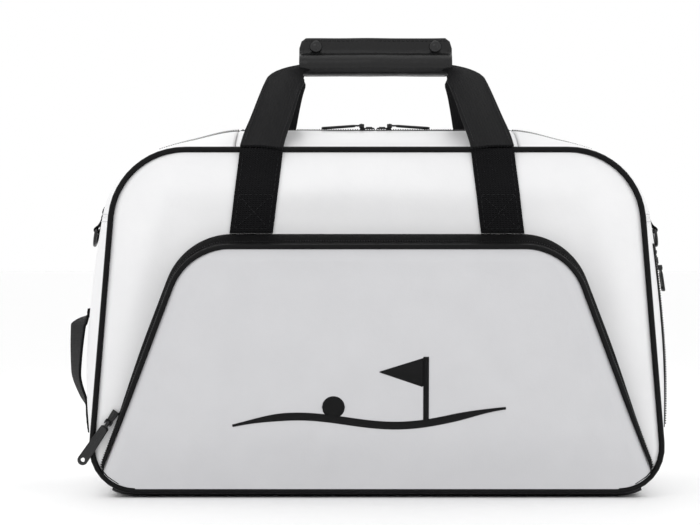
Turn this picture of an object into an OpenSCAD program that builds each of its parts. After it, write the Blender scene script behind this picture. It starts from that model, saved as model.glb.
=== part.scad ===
// Zipped holdall with a wedge front pocket, two carry handles and a shoe door in one end.
// X runs along the bag, Y from front (-) to rear (+), Z up. The origin is under the middle foot.

/* [Body] */
// Width of the front panel at the bottom seam, before its corners are rounded
base_w = 506; // [440:1:560]
// Width of the front panel at the top seam, before its corners are rounded
top_w = 457; // [400:1:500]
// Height of the top seam above the ground
body_top = 305; // [280:1:340]
// Height of the bottom seam above the ground
body_bottom = 6; // [5:0.5:8]
// Depth between the outer faces of the front and rear panels
body_d = 250; // [210:1:290]
// Radius of the upper corners of the panels
top_r = 65; // [50:1:75]
// Radius of the lower corners of the panels
low_r = 38; // [28:1:45]
// Thickness of the padded cover
wall = 2.5; // [1.8:0.1:3.5]
// Width of the piping bead around the front and rear panels
bead = 5; // [4:0.5:6]

/* [Swell] */
// Rise of the zipped band above the top seam
top_crown = 22; // [14:1:28]
// Rise of the band where it turns the top corners
corner_crown = 10; // [6:1:14]
// How far the ends swell past the panels
end_crown = 22; // [14:1:28]
// Height at which the ends swell most
swell_z = 140; // [110:1:170]
// Distance over which the band sinks from the flaps to the corners
fade_l = 65; // [45:1:80]

/* [Top opening] */
// Length of the two flaps that part when the main zip is open
lip_w = 250; // [200:1:270]
// Width of one zip tape
tape_w = 8; // [6:0.5:12]

/* [Zip sliders] */
// Length of a slider along its zip
slider_l = 14; // [11:0.5:16]
// Width of a slider
slider_w = 7; // [6:0.5:9]
// Height of a slider's body
slider_h = 3; // [2:0.5:4]
// Diameter of the pin that a pull turns on
pin_d = 1.8; // [1.4:0.1:2.2]
// Length of a main pull from its pin
main_pull_l = 37; // [28:1:45]
// Length of the pocket pull from its pin
pocket_pull_l = 44; // [32:1:50]
// Length of a shoe door pull from its pin
door_pull_l = 22; // [16:1:30]
// Width of the pulls
pull_w = 8; // [6:0.5:9]
// Thickness of the pulls
pull_t = 1.8; // [1.2:0.1:2.2]

/* [Front pocket] */
// Width of the pocket at the bottom seam, before its corners are cut
pocket_base_w = 496; // [430:1:500]
// Width of the pocket at its top, before its corners are rounded
pocket_top_w = 331; // [280:1:360]
// Drop from the top seam to the pocket's top bead
pocket_drop = 83; // [65:1:115]
// Radius of the pocket's upper corners
pocket_r = 55; // [40:1:60]
// How far the pocket stands out at its top
pocket_depth = 29; // [18:1:36]
// Width of the pocket's piping bead
pocket_bead = 4.4; // [3:0.2:5]
// Height of the pocket slider when the zip is closed
pocket_slider_z = 70; // [55:1:90]
// Thickness of the raised embroidery
emblem_t = 1.2; // [0.8:0.1:2]

/* [Handles] */
// Width of the carrying webbing
strap_w = 38; // [30:1:42]
// Thickness of the carrying webbing
strap_t = 2.5; // [1.8:0.1:3]
// Distance from the middle of the bag to a strap at the top seam
strap_x = 101; // [92:1:110]
// Inward lean of the sewn straps, in degrees
strap_lean = 7.1; // [3:0.1:9]
// Width of the grip
grip_w = 140; // [110:1:150]
// Rise of the middle of the grip above the top seam
grip_rise = 83; // [75:1:115]
// Height of the snapped crest above the middle of the grip
crest_h = 25; // [20:1:30]
// Diameter of a snap cap
snap_d = 11.5; // [8:0.5:13]

/* [Ends] */
// Width of the shoe door
door_w = 140; // [110:1:160]
// Height of the shoe door's hinge seam above the ground
door_low = 58; // [52:1:70]
// Height of the shoe door from its hinge seam to its top edge
door_h = 156; // [120:1:165]
// Drop from the shoulder of the ends to the D-ring tabs
tab_drop = 2.3; // [0:0.1:10]
// Width of the D-ring tabs
tab_w = 24; // [18:1:28]
// Wire diameter of the D-rings
wire_d = 3; // [2.5:0.1:4]
// Length of the grab loop between its sewn ends
grab_l = 86; // [70:1:100]
// Height of the bottom of the free part of the grab loop
grab_z = 64; // [58:1:80]
// How far the grab loop stands out
grab_out = 20; // [14:1:26]

/* [Inside and base] */
// Thickness of the base panel
base_t = 3; // [2:0.5:4]
// Thickness of the loose base board
board_t = 3; // [2:0.5:4]
// Diameter of the feet
foot_d = 15; // [12:1:20]
// Wall of the inner fabric pieces
lining_t = 1.2; // [0.8:0.1:2]
// Length of the shoe tunnel
tunnel_l = 328; // [250:1:360]
// Width of the shoe tunnel
tunnel_w = 152; // [130:1:160]
// Height of the low part of the shoe tunnel
tunnel_h = 110; // [90:1:125]
// Width of the slip pocket inside the rear panel
slip_w = 220; // [160:1:260]
// Height of the slip pocket
slip_h = 110; // [80:1:130]

/* [Hidden] */
$fn = 48;

// Colours of the real materials
white_hide = [0.93, 0.93, 0.94];
black_hide = [0.07, 0.07, 0.08];
black_web = [0.04, 0.04, 0.045];
black_metal = [0.10, 0.10, 0.11];
grey_cloth = [0.45, 0.46, 0.48];

// Clearances
seam_gap = 0.7;      // between a flap and the seam that it folds from
end_gap = 0.5;       // between the ends of a flap and the fixed band
meet_gap = 0.2;      // from the middle plane to each half of what closes there
slider_gap = 0.3;    // under a slider
pin_play = 0.1;      // round a pin
side_play = 0.3;     // beside an eye between its ears
door_gap = 0.8;      // round the shoe door
split_gap = 0.4;     // between the two zip walls of the pocket

// Body frame
arc_n = 12;
seam_y = body_d / 2 - bead / 2;
lean = atan2((base_w - top_w) / 2, body_top - body_bottom);
top_c = [half_at(body_top - top_r) - top_r / cos(lean), body_top - top_r];
low_c = [half_at(body_bottom + low_r) - low_r / cos(lean), body_bottom + low_r];
shoulder_z = top_c.y + top_r * sin(lean);
base_x = low_c.x - 13;
pocket_top = body_top - pocket_drop;
grip_z = body_top + grip_rise;
door_top = door_low + door_h;
tab_z = shoulder_z - tab_drop;
foot_h = body_bottom - base_t;

function unit(v) = v / norm(v);
function ease(t) = let (k = min(1, max(0, t))) k * k * (3 - 2 * k);
function flipped(pts) = [for (i = [len(pts) - 1:-1:0]) [-pts[i].x, pts[i].y]];
function both_ways(half) = concat([for (i = [len(half) - 1:-1:1]) -half[i]], half);

// Arc of radius r that rounds the corner p between its neighbours a and b
function rounded(a, p, b, r) =
    let (u = unit(a - p),
         w = unit(b - p),
         half = acos(u * w) / 2,
         c = p + unit(u + w) * r / sin(half),
         from = p + u * r / tan(half) - c,
         to = p + w * r / tan(half) - c,
         start = atan2(from.y, from.x),
         turn = atan2(from.x * to.y - from.y * to.x, from * to))
    [for (i = [0:arc_n]) c + r * [cos(start + turn * i / arc_n), sin(start + turn * i / arc_n)]];

// Rounded trapezoid with half widths wide below and narrow above
function trapezoid(wide, narrow, lo, hi, low_round, top_round) =
    let (a = [narrow, hi],
         b = [wide, lo],
         right = concat(rounded([-narrow, hi], a, b, top_round), rounded(a, b, [-wide, lo], low_round)))
    concat(right, flipped(right));

// Half width of the panels at height z, and their outline moved outwards by g
function half_at(z) = top_w / 2 + (body_top - z) * tan(lean);
function seam(g) =
    trapezoid(half_at(body_bottom - g) + g / cos(lean), half_at(body_top + g) + g / cos(lean),
              body_bottom - g, body_top + g, low_r + g, top_r + g);

// A station of the band round the bag is [x, z, normal x, normal z]
function on_top(x) = [x, body_top, 0, 1];
function on_arc(c, r, a) = [c.x + r * cos(a), c.y + r * sin(a), cos(a), sin(a)];
function on_side(z) = [half_at(z), z, cos(lean), sin(lean)];
function crown(st) =
    st[1] < swell_z
    ? end_crown * (1 - pow((swell_z - st[1]) / (swell_z - body_bottom), 2))
    : corner_crown
      + (end_crown - corner_crown) * (1 - pow((st[1] - swell_z) / (body_top - swell_z), 2))
      + (top_crown - corner_crown) * (1 - ease((st[0] - lip_w / 2) / fade_l));
// Point of the band at station st, at the share u of the half depth, out from the surface by h
function skin(st, u, h) =
    let (out = h + crown(st) * (1 - u * u))
    [st[0] + st[2] * out, u * seam_y, st[1] + st[3] * out];
function end_x(z) = skin(on_side(z), 0, 0).x;

// Shares of the half depth where the end pieces have a row of points
door_u = door_w / 2 / seam_y;
frame_u = (door_w / 2 + tape_w) / seam_y;
end_us = both_ways([0, door_u / 3, door_u * 2 / 3, door_u, frame_u, (1 + frame_u) / 2, 1]);
frame_us = both_ways([0, door_u / 3, door_u * 2 / 3, door_u, frame_u]);
fit_u = (door_w / 2 - door_gap) / seam_y;
door_us = both_ways([0, fit_u / 3, fit_u * 2 / 3, fit_u]);
corner_us = both_ways([0, 0.17, 0.34, 0.5, 0.66, 0.83, 1]);

door_rows = 6;
corner_path = concat([for (i = [0:3]) on_top(lip_w / 2 + (top_c.x - lip_w / 2) * i / 4)],
                     [for (i = [0:8]) on_arc(top_c, top_r, 90 - (90 - lean) * i / 8)]);
frame_path = concat([on_side(door_top + tape_w)],
                    [for (i = [0:door_rows]) on_side(door_top + (door_low - door_top) * i / door_rows)]);
end_path = concat([on_side(shoulder_z)], frame_path,
                  [for (i = [0:6]) on_arc(low_c, low_r, lean - (90 + lean) * i / 6)],
                  [[base_x, body_bottom, 0, -1]]);
door_path = [for (i = [0:door_rows])
    on_side(door_top - door_gap + (door_low - door_top + door_gap * 1.5) * i / door_rows)];

// Closed sheet over a grid of stations and shares, from lo to hi above the surface.
// The window leaves out rows window[0] to window[1] and columns window[2] to window[3].
module sheet(path, us, lo, hi, window = [0, 0, 0, 0]) {
    rows = len(path);
    cols = len(us);
    function at(i, j, layer) = (layer * rows + i) * cols + j;
    function filled(i, j) =
        i >= 0 && j >= 0 && i < rows - 1 && j < cols - 1
        && !(i >= window[0] && i < window[1] && j >= window[2] && j < window[3]);
    cells = [for (i = [0:rows - 2], j = [0:cols - 2]) if (filled(i, j)) [i, j]];
    // Each side of a cell: the step to its neighbour, then its two corners
    sides = [[[-1, 0], [0, 0], [0, 1]], [[0, 1], [0, 1], [1, 1]],
             [[1, 0], [1, 1], [1, 0]], [[0, -1], [1, 0], [0, 0]]];
    faces = [for (c = cells) each concat(
        [[at(c.x, c.y, 0), at(c.x, c.y + 1, 0), at(c.x + 1, c.y + 1, 0)],
         [at(c.x, c.y, 0), at(c.x + 1, c.y + 1, 0), at(c.x + 1, c.y, 0)],
         [at(c.x, c.y, 1), at(c.x + 1, c.y + 1, 1), at(c.x, c.y + 1, 1)],
         [at(c.x, c.y, 1), at(c.x + 1, c.y, 1), at(c.x + 1, c.y + 1, 1)]],
        [for (s = sides) if (!filled(c.x + s[0].x, c.y + s[0].y))
            let (p = c + s[1], q = c + s[2])
            each [[at(q.x, q.y, 0), at(p.x, p.y, 0), at(p.x, p.y, 1)],
                  [at(q.x, q.y, 0), at(p.x, p.y, 1), at(q.x, q.y, 1)]]])];
    polyhedron(concat([for (st = path, u = us) skin(st, u, hi)], [for (st = path, u = us) skin(st, u, lo)]),
               faces);
}

// Upright plate of thickness t with its outer face at y, drawn in X and Z
module plate(y, t) {
    translate([0, y + t, 0]) rotate([90, 0, 0]) linear_extrude(t) children();
}
// Bar of length l along X, centred, drawn in Y and Z
module bar(l) {
    rotate([90, 0, 90]) linear_extrude(l, center = true) children();
}
module at_rear() {
    mirror([0, 1, 0]) children();
}
module at_left() {
    mirror([1, 0, 0]) children();
}
module both_sides() {
    children();
    at_left() children();
}

// ---- Shell ----
module panel() {
    plate(-body_d / 2, wall) polygon(seam(-bead / 2));
}
module piping() {
    plate(-body_d / 2 - bead / 2, bead) difference() {
        polygon(seam(bead / 2));
        polygon(seam(-bead / 2));
    }
}
module front_panel() {
    color(white_hide) panel();
}
module rear_panel() {
    color(white_hide) at_rear() panel();
}
module front_piping() {
    color(black_hide) piping();
}
module rear_piping() {
    color(black_hide) at_rear() piping();
}
module end_gusset_left() {
    color(white_hide) at_left() sheet(end_path, end_us, -wall, 0);
}
module end_gusset_right() {
    color(white_hide) sheet(end_path, end_us, -wall, 0, [2, 2 + door_rows, 3, 9]);
}
module top_corner_left() {
    color(white_hide) at_left() sheet(corner_path, corner_us, -wall, 0);
}
module top_corner_right() {
    color(white_hide) sheet(corner_path, corner_us, -wall, 0);
}
module slab(w, d, r, h) {
    linear_extrude(h) {
        square([w, d - 2 * r], center = true);
        square([w - 2 * r, d], center = true);
        for (x = [-1, 1], y = [-1, 1]) translate([x * (w / 2 - r), y * (d / 2 - r)]) circle(r);
    }
}
module base_panel() {
    color(black_hide) translate([0, 0, foot_h]) slab(2 * (low_c.x + 17), 2 * seam_y, 12, base_t);
}
module base_board() {
    color(black_hide) translate([0, 0, body_bottom]) slab(2 * base_x - 1, 2 * seam_y - 8, 10, board_t);
}
module feet() {
    in_x = base_x - 10.8;
    in_y = seam_y - 37.5;
    spots = [[0, 0], [in_x, in_y], [-in_x, in_y], [in_x, -in_y], [-in_x, -in_y]];
    color(black_hide) for (p = spots) translate(p) cylinder(d = foot_d, h = foot_h);
}

// ---- Handles ----
hinge_y = -body_d / 2 - bead / 2 - 3.5;
hinge_z = body_top + 2;
grip_y = 14.2;
grip_half_h = 10;
crest_t = 3;
handle_tilt = atan2(grip_z - 5 - hinge_z, -(grip_y + hinge_y) + 1.2);
bar_low = (-(grip_y - 1.2) - hinge_y) / cos(handle_tilt);
bar_high = (-1.3 - hinge_y) / cos(handle_tilt);
function sewn_x(z) = strap_x + (body_top - z) * tan(strap_lean);

// Strap sewn flat to a panel from height lo, doubled near the top seam
module sewn_strap(lo) {
    module run(from, to) polygon([[sewn_x(from) - strap_w / 2, from], [sewn_x(from) + strap_w / 2, from],
                                  [sewn_x(to) + strap_w / 2, to], [sewn_x(to) - strap_w / 2, to]]);
    both_sides() {
        plate(-body_d / 2 - strap_t, strap_t) run(lo, body_top - bead / 2 - 0.2);
        plate(-body_d / 2 - 2 * strap_t, strap_t) run(body_top - 20, body_top + 0.5);
    }
}
module front_strap_ends() {
    color(black_web) sewn_strap(pocket_top + tape_rise + 0.3);
}
module rear_strap_ends() {
    color(black_web) at_rear() sewn_strap(body_bottom + 30);
}
// Free webbing, flat in a plane that leans over the bag
module webbing() {
    w = strap_w / 2;
    knee = 0.3 * bar_low;
    legs = [[strap_x, 1], [strap_x - 7, knee], [strap_x - 17, bar_low - 29]];
    outer = concat([for (p = legs) p + [w, 0]], [[strap_x - 9, bar_high - 4], [strap_x - 20, bar_high]]);
    inner = [[strap_x - 41, bar_low], legs[2] - [w, 0], legs[1] - [w, 0], legs[0] - [w, 0]];
    translate([0, hinge_y, hinge_z]) rotate([handle_tilt, 0, 0]) linear_extrude(strap_t, center = true)
        polygon(concat(outer, flipped(outer), flipped(inner), inner));
}
module front_webbing() {
    color(black_web) webbing();
}
module rear_webbing() {
    color(black_web) at_rear() webbing();
}
module grip_leaf() {
    roll = [for (i = [0:arc_n]) let (a = 90 + 180 * i / arc_n)
        [-meet_gap + (grip_y - meet_gap) * cos(a), grip_z + grip_half_h * sin(a)]];
    bar(grip_w) {
        polygon(roll);
        translate([-meet_gap - crest_t, grip_z]) square([crest_t, crest_h]);
    }
}
module front_grip_leaf() {
    color(black_hide) grip_leaf();
}
module rear_grip_leaf() {
    color(black_hide) at_rear() grip_leaf();
}
module snap_row() {
    both_sides() translate([grip_w / 2 - 15, -meet_gap - crest_t, grip_z + crest_h - 8])
        rotate([90, 0, 0]) cylinder(d = snap_d, h = 2);
}
module snap_caps() {
    color(black_metal) snap_row();
}
module snap_sockets() {
    color(black_metal) at_rear() snap_row();
}

// ---- Top opening ----
function band_z(y) = body_top + top_crown * (1 - pow(y / seam_y, 2));
module band_strip(from, to) {
    ys = [for (i = [0:arc_n]) from + (to - from) * i / arc_n];
    bar(lip_w - 2 * end_gap) polygon(concat([for (y = ys) [y, band_z(y)]],
                                            [for (i = [arc_n:-1:0]) [ys[i], band_z(ys[i]) - wall]]));
}
module front_lip() {
    color(white_hide) band_strip(seam_gap - seam_y, -tape_w);
}
module rear_lip() {
    color(white_hide) at_rear() band_strip(seam_gap - seam_y, -tape_w);
}
module front_zip_tape() {
    color(black_web) band_strip(-tape_w, -meet_gap);
}
module rear_zip_tape() {
    color(black_web) at_rear() band_strip(-tape_w, -meet_gap);
}

// ---- Sliders and pulls ----
// A slider lies on z = 0 with its pull towards +X; the pin runs along Y
ear_t = 1.5;
eye_r = 1.7;
pin_x = slider_l / 2 - 2;
pin_z = slider_gap + slider_h + 0.3 + eye_r;
module slider() {
    translate([-slider_l / 2, -slider_w / 2, slider_gap]) cube([slider_l, slider_w, slider_h]);
    for (side = [-1, 1]) {
        translate([pin_x - eye_r, side * (slider_w - ear_t) / 2 - ear_t / 2, slider_gap + slider_h])
            cube([2 * eye_r, ear_t, pin_z - slider_h]);
    }
    translate([pin_x, slider_w / 2, pin_z]) rotate([90, 0, 0]) cylinder(d = pin_d, h = slider_w);
}
module pull(l) {
    eye_w = slider_w - 2 * ear_t - 2 * side_play;
    neck = eye_r + 0.6;
    difference() {
        union() {
            translate([pin_x, eye_w / 2, pin_z]) rotate([90, 0, 0]) cylinder(r = eye_r, h = eye_w);
            translate([pin_x, -eye_w / 2, pin_z - pull_t / 2]) cube([neck + 1, eye_w, pull_t]);
            translate([pin_x, 0, pin_z - pull_t / 2]) linear_extrude(pull_t) {
                translate([neck, -pull_w / 2]) square([l - neck - pull_w / 2, pull_w]);
                translate([l - pull_w / 2, 0]) circle(d = pull_w);
            }
        }
        translate([pin_x, pull_w, pin_z]) rotate([90, 0, 0]) cylinder(r = pin_d / 2 + pin_play, h = 2 * pull_w);
    }
}
// The main sliders meet in the middle of the top and stay on the front half of the zip
slider_rest = slider_l / 2 + 1;
module on_main_zip() {
    translate([slider_rest, -pull_w / 2 - meet_gap - 0.1, body_top + top_crown]) children();
}
module main_slider_left() {
    color(black_metal) at_left() on_main_zip() slider();
}
module main_slider_right() {
    color(black_metal) on_main_zip() slider();
}
module main_pull_left() {
    color(black_metal) at_left() on_main_zip() pull(main_pull_l);
}
module main_pull_right() {
    color(black_metal) on_main_zip() pull(main_pull_l);
}

// ---- Front pocket ----
// The lid turns on a line just above the bottom piping
pocket_y0 = -body_d / 2 - 0.4;
pocket_z0 = body_bottom + bead / 2 + wall + 0.5;
pocket_tilt = atan2(pocket_depth, pocket_top - pocket_z0);
pocket_lean = atan2((pocket_base_w - pocket_top_w) / 2, pocket_top - body_bottom);
tape_rise = 9;
side_tape = 2.5;
wedge_z = pocket_z0 + 30;
function pocket_half(z) = pocket_top_w / 2 + (pocket_top - z) * tan(pocket_lean);
// Pocket outline moved outwards by g, with its top higher by rise
function pocket_edge(g, rise = 0) =
    let (hi = pocket_top + g + rise,
         lo = body_bottom,
         out = g / cos(pocket_lean))
    trapezoid(pocket_half(lo) + out, pocket_half(hi) + out, lo, hi, 1, pocket_r + g);
module pocket_ring(outer, inner, low, rise = 0) {
    difference() {
        intersection() {
            polygon(pocket_edge(outer, rise));
            polygon(seam(-bead / 2 - 0.5));
            translate([-base_w / 2, low]) square([base_w, body_top]);
        }
        polygon(pocket_edge(inner));
    }
}
// Draws the lid's pieces as if they stood upright, then leans them out about the hinge line
module on_lid() {
    translate([0, pocket_y0, pocket_z0]) rotate([pocket_tilt, 0, 0])
        translate([0, 0, -pocket_z0]) children();
}
// Space on one side of the plane halfway between the front panel and the lid
module halfway(y) {
    translate([0, pocket_y0, pocket_z0]) rotate([pocket_tilt / 2, 0, 0])
        translate([-base_w, y, -50]) cube([2 * base_w, 80, 2 * body_top]);
}
module pocket_panel() {
    color(white_hide) on_lid() plate(-wall, wall) intersection() {
        polygon(pocket_edge(-pocket_bead / 2));
        polygon(seam(-bead / 2 - 0.7));
        // The bottom corners are cut back so that they clear the piping as the lid turns
        union() {
            translate([-low_c.x - 4, pocket_z0]) square([2 * low_c.x + 8, 7]);
            translate([-base_w / 2, pocket_z0 + 6]) square([base_w, body_top]);
        }
    }
}
module pocket_piping() {
    color(black_hide) on_lid() plate(-pocket_bead, pocket_bead)
        pocket_ring(pocket_bead / 2, -pocket_bead / 2, pocket_z0 + 8);
}
module pocket_zip_inner() {
    color(black_web) difference() {
        on_lid() plate(0, pocket_depth) pocket_ring(0, -2, wedge_z);
        halfway(-split_gap / 2);
    }
}
module pocket_zip_outer() {
    color(black_web) difference() {
        plate(-body_d / 2 - pocket_depth, pocket_depth)
            pocket_ring(side_tape, 0.8, wedge_z, tape_rise - side_tape);
        halfway(split_gap / 2 - 80);
    }
}
// Raised embroidery: a flag, a ball and a rolling line of ground
module pocket_emblem() {
    steps = 24;
    thick = 7;
    ground = [for (i = [0:steps]) [-126 + 238 * i / steps, 62 + 6 * sin(430 * i / steps) + 10 * i / steps]];
    color(black_web) on_lid() plate(-wall - emblem_t, emblem_t) {
        polygon(concat(ground, [for (i = [steps:-1:0]) ground[i] + [0, thick]]));
        translate([40, 70]) square([5, 56]);
        polygon([[40, 126], [40, 100], [2, 113]]);
        translate([-38, 82]) circle(10);
    }
}
pocket_pull_turn = 124.5;
module on_pocket_zip() {
    clear = (side_tape + slider_w / 2 + 2) / cos(pocket_lean);
    translate([-pocket_half(pocket_slider_z) - clear, -body_d / 2, pocket_slider_z])
        rotate([90, pocket_pull_turn, 0]) children();
}
module pocket_slider() {
    color(black_metal) on_pocket_zip() slider();
}
module pocket_pull() {
    color(black_metal) on_pocket_zip() pull(pocket_pull_l);
}

// ---- Right end: shoe door ----
module shoe_door() {
    color(white_hide) sheet(door_path, door_us, -wall, 0);
}
module door_zip_tape() {
    color(black_web) sheet(frame_path, frame_us, 0, 1, [1, 1 + door_rows, 1, 7]);
}
door_slider_z = door_top - slider_l / 2 - 1.5;
door_slider_turn = 86.7 - lean;
module on_door_zip() {
    translate([end_x(door_slider_z) + 0.2, -slider_w / 2 - 0.7, door_slider_z])
        rotate([0, door_slider_turn, 0]) children();
}
module door_slider_front() {
    color(black_metal) on_door_zip() slider();
}
module door_slider_rear() {
    color(black_metal) at_rear() on_door_zip() slider();
}
// The pulls are slimmer than the gap between the sliders
module slim_pull() {
    intersection() {
        pull(door_pull_l);
        translate([-slider_l, -slider_w / 2, 0]) cube([3 * slider_l, slider_w, 3 * slider_l]);
    }
}
module door_pull_front() {
    color(black_metal) on_door_zip() slim_pull();
}
module door_pull_rear() {
    color(black_metal) at_rear() on_door_zip() slim_pull();
}

// ---- Ends: D-rings and grab loop ----
// Local +Z stands out from the end and local +X runs down it
tab_slope = 83.7 - lean;
eye_down = 8;
eye_out = 4.2;
ring_r = tab_w / 2 + wire_d / 2 + 1;
barrel_r = wire_d / 2 + 1.7;
module on_end() {
    translate([end_x(tab_z), 0, tab_z]) rotate([0, tab_slope, 0]) children();
}
module side_tab() {
    on_end() difference() {
        union() {
            translate([-14, -tab_w / 2, -1]) cube([14 + eye_down, tab_w, 3.5]);
            translate([eye_down, tab_w / 2, eye_out]) rotate([90, 0, 0]) cylinder(r = barrel_r, h = tab_w);
        }
        translate([eye_down, tab_w, eye_out]) rotate([90, 0, 0])
            cylinder(r = wire_d / 2 + pin_play, h = 2 * tab_w);
    }
}
module d_ring() {
    on_end() translate([eye_down, 0, eye_out]) {
        rotate([90, 0, 0]) cylinder(d = wire_d, h = 2 * ring_r, center = true);
        for (side = [-1, 1]) translate([0, side * ring_r, 0]) sphere(d = wire_d);
        rotate([0, 0, -90]) rotate_extrude(angle = 180) translate([ring_r, 0]) circle(d = wire_d);
    }
}
module side_tab_left() {
    color(black_web) at_left() side_tab();
}
module side_tab_right() {
    color(black_web) side_tab();
}
module d_ring_left() {
    color(black_metal) at_left() d_ring();
}
module d_ring_right() {
    color(black_metal) d_ring();
}
// Loop of webbing sewn to the left end above and below its free part
module grab_handle() {
    sewn = 14;
    steps = 16;
    mid = [for (i = [0:steps]) let (t = i / steps)
        [end_x(grab_z + grab_l * t) + grab_out * pow(sin(180 * pow(t, 1.8)), 0.8), grab_z + grab_l * t]];
    line = concat([[end_x(grab_z - sewn), grab_z - sewn]], mid,
                  [[end_x(grab_z + grab_l + sewn), grab_z + grab_l + sewn]]);
    color(black_web) at_left() plate(-strap_w / 2, strap_w)
        polygon(concat([for (p = line) p + [strap_t, 0]], [for (i = [len(line) - 1:-1:0]) line[i]]));
}

// ---- Inside ----
module shoe_tunnel() {
    floor_z = body_bottom + board_t;
    turn_r = low_r - board_t - 0.8;
    mouth = low_c.x + turn_r;
    back = mouth - tunnel_l;
    high = door_top + 2;
    mouth_top = half_at(high) + 8;
    // Outline inset by t, with its mouth moved past the end; its lower corner follows the end piece
    module side(t, past) polygon(concat(
        [[back + t, floor_z + t]],
        [for (a = [-90:30:0]) low_c + (turn_r - t) * [cos(a), sin(a)] + [past * (a + 90) / 90, 0]],
        [[mouth_top + past, high - t], [mouth - 110, floor_z + tunnel_h - t],
         [back + t, floor_z + tunnel_h - t]]));
    color(grey_cloth) difference() {
        plate(-tunnel_w / 2, tunnel_w) side(0, 0);
        plate(-tunnel_w / 2 + lining_t, tunnel_w - 2 * lining_t) side(lining_t, 2 * lining_t);
    }
}
// Slip pocket on the inside of the rear panel, open at the top
module inner_pocket() {
    depth = 10;
    low = body_top - slip_h - 40;
    color(grey_cloth) difference() {
        translate([-slip_w / 2, seam_y - depth, low]) cube([slip_w, depth, slip_h]);
        translate([-slip_w / 2 + lining_t, seam_y - depth + lining_t, low + lining_t])
            cube([slip_w - 2 * lining_t, depth, slip_h]);
    }
}

front_panel();
rear_panel();
front_piping();
rear_piping();
end_gusset_left();
end_gusset_right();
top_corner_left();
top_corner_right();
base_panel();
base_board();
feet();
front_strap_ends();
rear_strap_ends();
pocket_zip_outer();
side_tab_left();
side_tab_right();
grab_handle();
door_zip_tape();
shoe_tunnel();
inner_pocket();
front_lip();
front_zip_tape();
rear_lip();
rear_zip_tape();
main_slider_left();
main_slider_right();
main_pull_left();
main_pull_right();
pocket_panel();
pocket_piping();
pocket_zip_inner();
pocket_emblem();
pocket_slider();
pocket_pull();
front_webbing();
front_grip_leaf();
snap_caps();
rear_webbing();
rear_grip_leaf();
snap_sockets();
shoe_door();
door_slider_front();
door_slider_rear();
door_pull_front();
door_pull_rear();
d_ring_left();
d_ring_right();
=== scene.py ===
import math
import bmesh
import bpy
from mathutils import Matrix, Vector


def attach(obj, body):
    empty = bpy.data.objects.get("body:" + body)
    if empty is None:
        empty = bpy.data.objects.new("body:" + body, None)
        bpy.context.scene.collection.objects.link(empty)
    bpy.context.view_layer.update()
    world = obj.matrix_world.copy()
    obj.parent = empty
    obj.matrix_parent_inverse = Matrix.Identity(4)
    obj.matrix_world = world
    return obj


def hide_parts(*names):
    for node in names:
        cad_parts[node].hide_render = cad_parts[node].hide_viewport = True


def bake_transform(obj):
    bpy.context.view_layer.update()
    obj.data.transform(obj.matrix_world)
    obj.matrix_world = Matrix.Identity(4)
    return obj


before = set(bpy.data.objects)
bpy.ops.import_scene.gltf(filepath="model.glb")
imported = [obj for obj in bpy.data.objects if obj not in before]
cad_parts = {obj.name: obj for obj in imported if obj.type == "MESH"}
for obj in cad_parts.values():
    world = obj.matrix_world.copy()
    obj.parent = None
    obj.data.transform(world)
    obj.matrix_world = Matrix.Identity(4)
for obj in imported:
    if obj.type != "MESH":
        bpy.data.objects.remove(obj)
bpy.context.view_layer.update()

scene = bpy.context.scene


# ---- Shape of the bag, in metres ----
HALF_TOP, TOP_Z, LOW_Z = 0.2285, 0.305, 0.006
SLOPE, COS, SIN = 0.08194, 0.99666, 0.08167
TOP_C, TOP_R = (0.16861, 0.240), 0.065
LOW_C, LOW_R = (0.21176, 0.044), 0.038
SEAM_Y, FACE_Y = 0.1225, 0.125
PIPE_R, COVER = 0.0026, 0.0024
FLAP_HALF = 0.1245
POCKET_HALF, POCKET_TOP = 0.1655, 0.222
STRAP_TOP = 0.3062
WEB_W, WEB_T, ROW_X = 0.038, 0.0023, 0.0155
GRIP_HALF = 0.0704
COIL_R, TEETH = 0.00062, 0.0022
BOX_X = ((0, 1), (1, 2), (2, 3), (3, 0), (0, 2), (1, 3))  # a sewn box with a cross in it
LEAN = math.atan(SLOPE)
SHOULDER = TOP_C[1] + TOP_R * SIN


def ease(t):
    t = min(1.0, max(0.0, t))
    return t * t * (3 - 2 * t)


def mix(a, b, t):
    return a + (b - a) * t


def half_at(z):
    return HALF_TOP + (TOP_Z - z) * SLOPE


def outline_half(z, inset):
    """Half width of the front and rear panels at height z."""
    if z > SHOULDER - inset * SIN:
        return TOP_C[0] + math.sqrt(max(0, (TOP_R - inset) ** 2 - (z - TOP_C[1]) ** 2))
    if z < LOW_C[1] + LOW_R * SIN:
        return LOW_C[0] + math.sqrt(max(0, (LOW_R - inset) ** 2 - (z - LOW_C[1]) ** 2))
    return half_at(z) - inset / COS


def arc(centre, r, start, end, n):
    angles = [mix(start, end, i / n) for i in range(n + 1)]
    return [(centre[0] + r * math.cos(a), centre[1] + r * math.sin(a)) for a in angles]


def seam_path(inset):
    """Closed outline of the panels as points (x, z), clockwise from the middle of the top."""
    right = [(x / 1000, TOP_Z - inset) for x in range(0, 168, 12)]
    right += arc(TOP_C, TOP_R - inset, math.pi / 2, LEAN, 16)
    a, b = right[-1], arc(LOW_C, LOW_R - inset, LEAN, 0, 1)[0]
    right += [(mix(a[0], b[0], i / 16), mix(a[1], b[1], i / 16)) for i in range(1, 16)]
    right += arc(LOW_C, LOW_R - inset, LEAN, -math.pi / 2, 14)
    right += [(x / 1000, LOW_Z + inset) for x in range(200, 0, -12)]
    return right + [(0.0, LOW_Z + inset)] + [(-x, z) for x, z in reversed(right[1:])]


def on_top(x):
    return (x, TOP_Z, 0.0, 1.0)


def on_arc(c, r, a):
    return (c[0] + r * math.cos(a), c[1] + r * math.sin(a), math.cos(a), math.sin(a))


def on_side(z):
    return (half_at(z), z, COS, SIN)


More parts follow.
